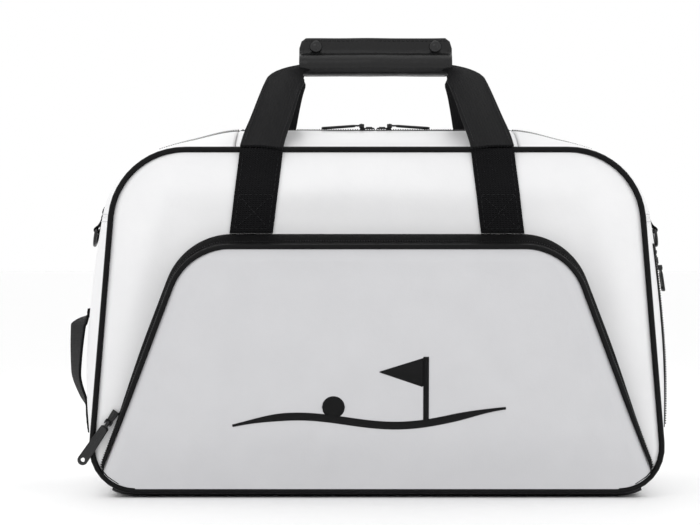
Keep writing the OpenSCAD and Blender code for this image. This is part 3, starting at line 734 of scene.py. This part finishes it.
count = len(mid_edge) - 1
for name, lid_side, body, node in (("outer", False, "shell", "pocket_zip_outer"),
                                   ("inner", True, "pocket_lid", "pocket_zip_inner")):
    cloth = loft(6, count, lambda u, v, k=lid_side: wall_strip(round(v * count), u, k), size=(0.02, 0.9))
    faced_from(cloth, (0, -0.14, 0.1))
    piece("pocket_zip_" + name + "_cloth", cloth, body, [TAPE], [node], solid=0.0008)
    row = [mid_point(i, 0.0007 if lid_side else -0.0007) for i in range(count + 1)]
    toward = Vector((0, 1, 0)) if lid_side else Vector((0, -1, 0))
    parts = []
    links = run(row, TEETH)
    for a, b in zip(links, links[1:]):
        m, d, n = (a + b) / 2, (b - a).normalized(), wall_out(a)
        tooth = [m - n * 0.0002, m + n * 0.0009 + toward * 0.0006, m + n * 0.0002 + toward * 0.0012]
        parts.append(tube(tooth, COIL_R, up=d, sides=5))
    piece("pocket_coil_" + name, merged(*parts), body, [COIL])


# Raised embroidery: strokes of satin stitch
def stroke(points, width, n, high=0.0013):
    pts = [Vector((x, z)) for x, z in points]

    def spot(u, v):
        p = along(pts, v)
        d = (along(pts, min(1, v + 0.01)) - along(pts, max(0, v - 0.01))).normalized()
        w = width(v) if callable(width) else width
        q = p + Vector((-d.y, d.x)) * w * (u - 0.5)
        ends = min(1, v / 0.02, (1 - v) / 0.02)
        h = high * math.sqrt(max(0.0, 1 - (2 * u - 1) ** 2)) * (0.3 + 0.7 * ends) - 0.0001
        return on_lid(q.x, -0.0026 - pocket_puff(q.x, q.y) - h, q.y)

    return loft(10, n, spot, facing=LID_OUT, size=(0.008, n * 0.0012))


ground = [(-0.126 + 0.238 * i / 48, 0.0655 + 0.006 * math.sin(math.radians(430 * i / 48)) + 0.010 * i / 48)
          for i in range(49)]
motif = merged(stroke(ground, lambda v: 0.0072 * (0.35 + 0.65 * ease(min(1, v * 5, (1 - v) * 5))), 190),
               stroke([(0.0425, 0.070), (0.0425, 0.1265)], 0.0052, 44),
               stroke([(0.0405, 0.1125), (0.002, 0.1130)], lambda v: 0.0262 * (1 - v) + 0.0008, 32),
               stroke([(-0.048, 0.082), (-0.028, 0.082)],
                      lambda v: 2 * math.sqrt(max(1e-8, 1e-4 - (0.020 * v - 0.010) ** 2)), 22))
piece("flag_and_ball_embroidery", motif, "pocket_lid", [THREAD], ["pocket_emblem"],
      solid=0.0002)


# ---- Carrying straps ----
def smooth(points, times=2):
    pts = [Vector(p) for p in points]
    for _ in range(times):
        cut = [pts[0]]
        for a, b in zip(pts, pts[1:]):
            cut += [a.lerp(b, 0.25), a.lerp(b, 0.75)]
        pts = cut + [pts[-1]]
    return pts


def strap_line(z):
    return 0.101 + (TOP_Z - z) * math.tan(math.radians(7.1))


def sewn_point(x_side, side, low, high, across, t):
    """Point of a sewn strap: across runs over its width, t up its length."""
    z = mix(low, high, t)
    cx = strap_line(z)
    x = x_side * (cx + across)
    swell = (puff if side < 0 else rear_puff)(x, min(z, 0.300))
    over = ease((z - 0.290) / 0.015)
    edge = 0.0003 * math.cos(math.pi * min(1, abs(across) / 0.019))
    return Vector((x, side * (mix(0.1274 + swell, 0.1305, over) + edge), z))


for side, name, low in ((-1, "front", 0.2313), (1, "rear", 0.036)):
    cloths, seams = [], []
    for k in (-1, 1):
        rows = round((STRAP_TOP - low) / 0.0022)
        span = STRAP_TOP - low

        def at(x, z):
            return sewn_point(k, side, low, STRAP_TOP, x, (z - low) / span)

        cloths.append(loft(10, rows, lambda u, v: sewn_point(k, side, low, STRAP_TOP, (u - 0.5) * WEB_W, v),
                           facing=(0, side, 0), size=(WEB_W, span)))
        box = [(-0.015, low + 0.004), (0.015, low + 0.004), (0.015, low + 0.034), (-0.015, low + 0.034)]
        for p, q in BOX_X:
            line = [at(mix(box[p][0], box[q][0], i / 6), mix(box[p][1], box[q][1], i / 6))
                    for i in range(7)]
            seams.append(stitches(line, lambda p, s=side: (0, s, 0)))
        for x in (-ROW_X, ROW_X):
            line = [at(x, mix(low + 0.036, 0.298, i / 20)) for i in range(21)]
            seams.append(stitches(line, lambda p, s=side: (0, s, 0)))
    piece(name + "_strap_webbing", merged(*cloths), "shell", [WEBBING],
          [name + "_strap_ends"], solid=WEB_T, bevel=0.0005)
    piece(name + "_strap_stitching", merged(*seams), "shell", [STITCH_B])

TILT = math.radians(32.8)
leg = smooth([(0.101, -0.0005), (0.0985, 0.021), (0.094, 0.045), (0.089, 0.080), (0.084, 0.113),
              (0.079, 0.134), (0.064, 0.1475), (0.040, 0.1475), (0.0, 0.1475)])


def strap_width(v):
    return mix(WEB_W, 0.035, ease(v / 0.55)) if v < 0.55 else mix(0.035, 0.011, ease((v - 0.55) / 0.17))


def in_plane(x, v, side, h=0.0):
    return Vector((x, side * (0.131 - v * math.cos(TILT) + h * math.sin(TILT)),
                   0.307 + v * math.sin(TILT) + h * math.cos(TILT)))


for side, name in ((-1, "front"), (1, "rear")):
    whole = leg + [Vector((-p.x, p.y)) for p in reversed(leg[:-1])]

    def free(u, v, whole=whole, side=side):
        p = along(whole, v)
        d = (along(whole, min(1, v + 0.004)) - along(whole, max(0, v - 0.004))).normalized()
        t = 1 - abs(2 * v - 1)
        q = p + Vector((d.y, -d.x)) * strap_width(t) * (u - 0.5)
        bow = 0.0022 * math.sin(math.pi * min(1, t / 0.62)) + 0.0005 * math.cos(math.pi * (2 * u - 1))
        return in_plane(q.x, q.y, side, 0.0012 + bow + 0.0006 * noise(p.x, p.y, side))

    piece(name + "_handle_webbing", loft(10, 190, free, facing=(0, side * 0.5, 0.84), size=(WEB_W, 0.52)),
          name + "_handle", [WEBBING], [name + "_webbing"], solid=WEB_T, bevel=0.0005)
    edge_lines = []
    for k in (-1, 1):
        for x in (-ROW_X, ROW_X):
            line = []
            for i in range(30):
                v = (0.02 + 0.25 * i / 29) if k > 0 else 1 - (0.02 + 0.25 * i / 29)
                line.append(free(0.5 + x / strap_width(1 - abs(2 * v - 1)), v))
            edge_lines.append(stitches(line, lambda p, s=side: (0, s * 0.54, 0.84)))
    piece(name + "_handle_stitching", merged(*edge_lines), name + "_handle", [STITCH_B])

# Padded grip: each leaf wraps half of the webbing and ends in a flat crest with two snaps
loop = [(0.0003, 0.4125), (0.0016, 0.4134), (0.0031, 0.4122), (0.0034, 0.4060), (0.0035, 0.4010),
        (0.0056, 0.3986), (0.0095, 0.3966), (0.0130, 0.3925), (0.0143, 0.3880), (0.0132, 0.3832),
        (0.0096, 0.3795), (0.0045, 0.3779), (0.0003, 0.3780), (0.0003, 0.3900), (0.0003, 0.4020)]
closed = smooth(loop + loop[:1], 2)[:-1]


def leaf_point(u, v, side):
    p = closed[round(u * len(closed)) % len(closed)]
    x = (2 * v - 1) * GRIP_HALF
    end = ease(min(1, (GRIP_HALF - abs(x)) / 0.0035))
    groove = 1 - 0.05 * math.exp(-((abs(x) - 0.0668) / 0.0010) ** 2)
    full = (0.90 + 0.10 * end) * groove
    turn = 0.0070
    over = max(0.0, abs(x) - (GRIP_HALF - turn))
    drop = (turn - math.sqrt(max(0.0, turn * turn - over * over))) * ease((p.y - 0.400) / 0.012)
    soft = 0.00045 * noise(x * 2.4, p.y * 3 + p.x * 2, 3.0 + side) * end
    y = max(0.0003, p.x * full + (soft if p.x > 0.001 else 0))
    return Vector((x * (1 if p.x > 0.0004 else 0.999), side * y,
                   0.390 + (p.y - 0.390) * full + soft * 0.5 - drop))


cap_shape = [(0.0001, 0.0020), (0.0026, 0.0021), (0.0030, 0.0017), (0.0036, 0.0021), (0.0050, 0.0016),
             (0.0057, 0.0008), (0.00575, 0.0), (0.0048, -0.0003), (0.0001, -0.0003)]
for side, name, parts in ((-1, "front", "snap_caps"), (1, "rear", "snap_sockets")):
    leaf = loft(len(closed), 70, lambda u, v: leaf_point(u, v, side), size=(0.07, 0.14), cap=True)
    piece(name + "_grip_leaf_hide", leaf, name + "_handle", [GRIP],
                    [name + "_grip_leaf"])
    caps = [turned(cap_shape, (k * 0.055, side * 0.0034, 0.405), (0, side, 0)) for k in (-1, 1)]
    piece(parts + "_metal", merged(*caps), name + "_handle", [METAL], [parts])
    rows = [stitches([(x / 1000, side * 0.00345, 0.4106) for x in range(-66, 67, 4)], lambda p: (0, side, 0))]
    for k in (-1, 1):
        round_it = [leaf_point(i / len(closed), 0.5 + k * 0.4745, side) for i in range(14, 44)]
        rows.append(stitches(round_it, lambda p, s=side: (0, p.y, p.z - 0.388)))
    piece(name + "_grip_stitching", merged(*rows), name + "_handle", [STITCH_B])


# ---- Sliders and pulls, drawn lying on z = 0 with the pull towards +X ----
PIN_X, PIN_Z, EYE = 0.005, 0.0053, 0.0017


def slider_body():
    ears = [block((PIN_X - 0.0002, k * 0.00275, 0.0048), (0.0046, 0.0014, 0.0036), 0.0005)
            for k in (-1, 1)]
    return merged(block((-0.0003, 0, 0.0026), (0.0134, 0.0068, 0.0012), 0.0005, taper=0.72),
                  block((-0.0003, 0, 0.0008), (0.0130, 0.0064, 0.0009), 0.0003, taper=0.72),
                  block((0.0042, 0, 0.0017), (0.0036, 0.0014, 0.0016), 0.0002),
                  block((-0.0020, 0, 0.0036), (0.0060, 0.0022, 0.0010), 0.0004, taper=0.7),
                  rod((PIN_X, -0.0036, PIN_Z), (PIN_X, 0.0036, PIN_Z), 0.00088), *ears)


# Section of a pull from its hole to its rim and back: share of the way out, height
PULL_STEPS = [(0, -0.0004), (0, 0.0), (0.05, -0.0001), (0.84, -0.0001), (0.90, 0.0002), (1, -0.0002),
              (1, -0.0012), (1, -0.0012), (1, -0.0002), (0.90, -0.0020), (0.84, -0.0017), (0.05, -0.0017),
              (0, -0.0018), (0, -0.0023)]


def pull_body(length, w=0.008, slots=False):
    """Flat pull with a rounded end, a rim, an eye round the pin and a hole near its tip."""
    r, neck = w / 2, 0.0042
    out = [(neck - 0.0008, 0.0015), (neck + 0.0010, r * 0.82)]
    out += [(length * k, r * (0.86 + 0.14 * ease(k))) for k in (0.3, 0.5, 0.7)]
    quarter = [math.pi / 2 * i / 8 for i in range(9)]
    out += [(length - r + r * math.sin(a), r * math.cos(a)) for a in quarter]
    ring = [Vector((x, y)) for x, y in out] + [Vector((x, -y)) for x, y in reversed(out[:-1])]
    mid = Vector((length - r * 1.05, 0))
    n = len(ring)

    def plate(u, v):
        i = round(u * n) % n
        a = math.atan2(ring[i].y, ring[i].x - mid.x)
        inner = mid + Vector((math.cos(a), math.sin(a))) * r * 0.42
        k, z = PULL_STEPS[round(v * 13)]
        p = inner.lerp(ring[i], k)
        return Vector((PIN_X + p.x, p.y, PIN_Z + 0.0009 + z))

    body = loft(n, 13, plate, size=(0.03, 0.004))
    eye = rod((PIN_X, -EYE, PIN_Z), (PIN_X, EYE, PIN_Z), EYE, 16)
    link = block((PIN_X + 0.0024, 0, PIN_Z), (0.0046, 0.0032, 0.0016), 0.0003)
    extra = [block((PIN_X + length * k, 0, PIN_Z + 0.00095), (0.0035, 0.0012, 0.0004), 0.0001)
             for k in (0.30, 0.44)]
    return merged(body, eye, link, *(extra if slots else []))


def placed(bm, matrix):
    bmesh.ops.transform(bm, matrix=matrix, verts=bm.verts)
    if matrix.determinant() < 0:
        bmesh.ops.reverse_faces(bm, faces=bm.faces)
    return bm


def spot_of(at, turn=Matrix.Identity(4), flip=None):
    m = Matrix.Translation(at) @ turn
    return (Matrix.Diagonal((*flip, 1)) @ m) if flip else m


def turn_y(deg):
    return Matrix.Rotation(math.radians(deg), 4, "Y")


main_at = Vector((0.008, -0.0043, 0.327))
pin = Vector((PIN_X, 0, PIN_Z))
sag = Matrix.Translation(pin) @ turn_y(4) @ Matrix.Translation(-pin)
for k, name in ((-1, "left"), (1, "right")):
    m = spot_of(main_at, flip=(k, 1, 1))
    piece("main_slider_" + name + "_metal", placed(slider_body(), m), "zip_" + name, [METAL],
          ["main_slider_" + name])
    piece("main_pull_" + name + "_metal", placed(pull_body(0.037), m @ sag), "pull_" + name,
          [METAL], ["main_pull_" + name])

clear = (0.0025 + 0.0035 + 0.002) / PC
pocket_m = spot_of(Vector((-pocket_half(0.070) - clear, -0.125, 0.070)),
                   turn_y(124.5) @ Matrix.Rotation(math.pi / 2, 4, "X"))
piece("pocket_slider_metal", placed(slider_body(), pocket_m), "pocket_zip", [METAL],
      ["pocket_slider"])
piece("pocket_pull_metal", placed(pull_body(0.044, w=0.0092, slots=True), pocket_m), "pocket_tab",
      [METAL], ["pocket_pull"])


# ---- Ends ----
def end_x(z):
    return skin(on_side(z), 0).x


door_zs = [mix(DOOR_TOP - 0.0008, DOOR_LOW - 0.0004, i / 14) for i in range(15)]
FIT_U = 0.0692 / SEAM_Y
door_bm = band([on_side(z) for z in door_zs], [-FIT_U, -FIT_U / 2, 0, FIT_U / 2, FIT_U], 1,
               h=lambda s, v: 0.0010 * math.exp(-((abs(s) - FIT_U + 0.03) / 0.02) ** 2))
piece("shoe_door_cover", door_bm, "door", [WHITE, LINING], ["shoe_door"],
                solid=COVER)
frame_side = [on_side(DOOR_TOP + 0.008)] + [on_side(mix(DOOR_TOP, DOOR_LOW, i / 14)) for i in range(15)]
tape_bm = band(frame_side, [-FRAME_U, -DOOR_U, -DOOR_U / 2, 0, DOOR_U / 2, DOOR_U, FRAME_U], 1, h=0.0009,
               window=lambda c: abs(c.y) < DOOR_U * SEAM_Y and c.z < DOOR_TOP - 0.0002)
piece("door_zip_cloth", tape_bm, "shell", [TAPE], ["door_zip_tape"], solid=0.0008)


def arch(gap):
    """Path of the door zip, up one side, over the top and down the other."""
    u, top = (0.070 + gap) / SEAM_Y, DOOR_TOP + gap
    up = [skin(on_side(mix(DOOR_LOW + 0.002, top, i / 30)), -u, 0.0009) for i in range(31)]
    over = [skin(on_side(top), mix(-u, u, i / 30), 0.0009) for i in range(31)]
    return up + over[1:] + [Vector((p.x, -p.y, p.z)) for p in reversed(up[:-1])]


def to_middle(p):
    return Vector((0, 0, -1)) if p.z > DOOR_TOP - 0.0005 else Vector((0, -p.y, 0))


piece("door_coil_outer", teeth(arch(0.0016), (1, 0, 0.1), to_middle), "shell", [COIL])
piece("door_coil_inner", teeth([p + Vector((-0.0004, 0, 0)) for p in arch(-0.0018)], (1, 0, 0.1),
                               lambda p: -to_middle(p)), "door", [COIL])
door_rest = DOOR_TOP - 0.0085
for k, name in ((1, "front"), (-1, "rear")):
    m = spot_of(Vector((end_x(door_rest) + 0.0002, -0.0042, door_rest)), turn_y(82), (1, k, 1))
    piece("door_slider_" + name + "_metal", placed(slider_body(), m), "door_zip_" + name,
          [METAL], ["door_slider_" + name])
    piece("door_pull_" + name + "_metal", placed(pull_body(0.022, w=0.0066), m), "door_tab_" + name,
          [METAL], ["door_pull_" + name])

# D-ring tabs: webbing folded round the straight side of each ring
tab = [(-0.0140, 0.0016), (-0.0080, 0.0019), (-0.0010, 0.0022), (0.0040, 0.0042), (0.0062, 0.0068),
       (0.0088, 0.0074), (0.0108, 0.0058), (0.0114, 0.0036), (0.0100, 0.0014), (0.0070, 0.0003),
       (0.0, -0.0002), (-0.0140, -0.0004)]
tab_line = smooth(tab, 2)
for k, name in ((-1, "left"), (1, "right")):
    m = spot_of(Vector((end_x(0.243), 0, 0.243)), turn_y(79), (k, 1, 1))
    cloth = loft(8, 44, lambda u, v: Vector((along(tab_line, v).x, (u - 0.5) * 0.0236, along(tab_line, v).y)),
                 size=(0.024, 0.055))
    if sum(f.normal.z * (1 if f.calc_center_median().z > 0.001 else -1) for f in cloth.faces) < 0:
        bmesh.ops.reverse_faces(cloth, faces=cloth.faces)
    piece("side_tab_" + name + "_webbing", placed(cloth, m), "shell", [WEBBING],
          ["side_tab_" + name], solid=0.0012, bevel=0.0003)
    box = [(-0.012, -0.009), (-0.002, -0.009), (-0.002, 0.009), (-0.012, 0.009)]
    lines = [stitches([m @ Vector((*box[p], 0.0021)), m @ Vector((*box[q], 0.0021))],
                      lambda p, s=k: (s, 0, 0.2)) for p, q in BOX_X]
    piece("side_tab_stitching_" + name, merged(*lines), "shell", [STITCH_B])
    r = 0.0145
    bend = 0.004
    d = [(0.0, y / 1000, 0.0) for y in range(-10, 11, 4)]
    d += [(bend - bend * math.cos(a), r - bend + bend * math.sin(a), 0) for a in (0.4, 0.8, 1.2)]
    d += [(r * math.sin(a), r * math.cos(a), 0) for a in [math.pi * i / 24 for i in range(4, 21)]]
    d += [(x, -y, 0) for x, y, _ in reversed(d[6:9])]
    ring = placed(tube(d, 0.00148, up=(0, 0, 1), closed=True, sides=12),
                  m @ Matrix.Translation((0.008, 0, 0.0042)))
    piece("d_ring_" + name + "_wire", ring, "ring_" + name, [METAL], ["d_ring_" + name])

# Grab loop: webbing sewn to the left end, its free part twisting a little towards its top
SEWN, GRAB_Z, GRAB_L = 0.014, 0.064, 0.086


def grab_at(u, v):
    z = mix(GRAB_Z - SEWN, GRAB_Z + GRAB_L + SEWN, v)
    t = min(1.0, max(0.0, (z - GRAB_Z) / (GRAB_L + 0.007)))
    out = 0.0100 * ease(t / 0.45) * math.sqrt(min(1.0, (1 - t) / 0.09))
    share = (u - 0.5) * WEB_W
    lean = math.radians(26) * mix(0.35, 1, t) * ease(t / 0.2) * math.sqrt(min(1.0, (1 - t) / 0.07))
    return Vector((-(end_x(z) + 0.0024 + out + share * math.sin(lean)), share * math.cos(lean), z))


piece("grab_loop_webbing", loft(10, 90, grab_at, facing=(-1, 0, 0), size=(WEB_W, 0.13)), "shell",
      [WEBBING], ["grab_handle"], solid=0.0024, bevel=0.0005)
rows = []
for z0, z1 in ((0.0520, 0.0620), (0.1520, 0.1620)):
    v0, v1 = [(z - GRAB_Z + SEWN) / (GRAB_L + 2 * SEWN) for z in (z0, z1)]
    c = [(0.1, v0), (0.9, v0), (0.9, v1), (0.1, v1)]
    for p, q in BOX_X:
        rows.append(stitches([grab_at(mix(c[p][0], c[q][0], i / 6), mix(c[p][1], c[q][1], i / 6))
                              for i in range(7)], lambda p: (-1, 0, 0)))
piece("grab_loop_stitching", merged(*rows), "shell", [STITCH_B])


# ---- Floor, light and camera ----
def staged(ob):
    scene.collection.objects.link(ob)
    return ob


floor = bpy.data.materials.new("pale floor")
floor.use_nodes = True
paint = floor.node_tree.nodes["Principled BSDF"]
paint.inputs["Base Color"].default_value = (0.98, 0.98, 0.98, 1)
paint.inputs["Roughness"].default_value = 0.6
mesh = bpy.data.meshes.new("floor")
bm = bmesh.new()
bmesh.ops.create_grid(bm, x_segments=1, y_segments=1, size=60)
bm.to_mesh(mesh)
bm.free()
mesh.materials.append(floor)
staged(bpy.data.objects.new("floor", mesh))

world = bpy.data.worlds.new("studio")
world.use_nodes = True
world.node_tree.nodes["Background"].inputs["Color"].default_value = (1, 1, 1, 1)
world.node_tree.nodes["Background"].inputs["Strength"].default_value = 1.0
scene.world = world
for name, at, size, power in (("key", (-0.9, -1.8, 1.9), 1.6, 6), ("fill", (1.6, -1.6, 1.0), 1.8, 2.5),
                              ("top", (0.2, 0.3, 2.0), 1.6, 2.5), ("back", (-0.6, 1.8, 1.2), 1.4, 2)):
    data = bpy.data.lights.new(name, "AREA")
    data.size, data.energy = size, power
    lamp = staged(bpy.data.objects.new(name, data))
    lamp.location = at
    lamp.rotation_euler = (Vector((0, 0, 0.18)) - Vector(at)).to_track_quat("-Z", "Y").to_euler()

view = bpy.data.cameras.new("view")
view.lens, view.sensor_width = 135, 36
eye = bpy.data.objects.new("view", view)
scene.collection.objects.link(eye)
eye.location = (-0.0236, -2.425, 0.206)
eye.rotation_euler = (math.pi / 2, 0, 0)
scene.camera = eye
scene.view_settings.view_transform = "Standard"
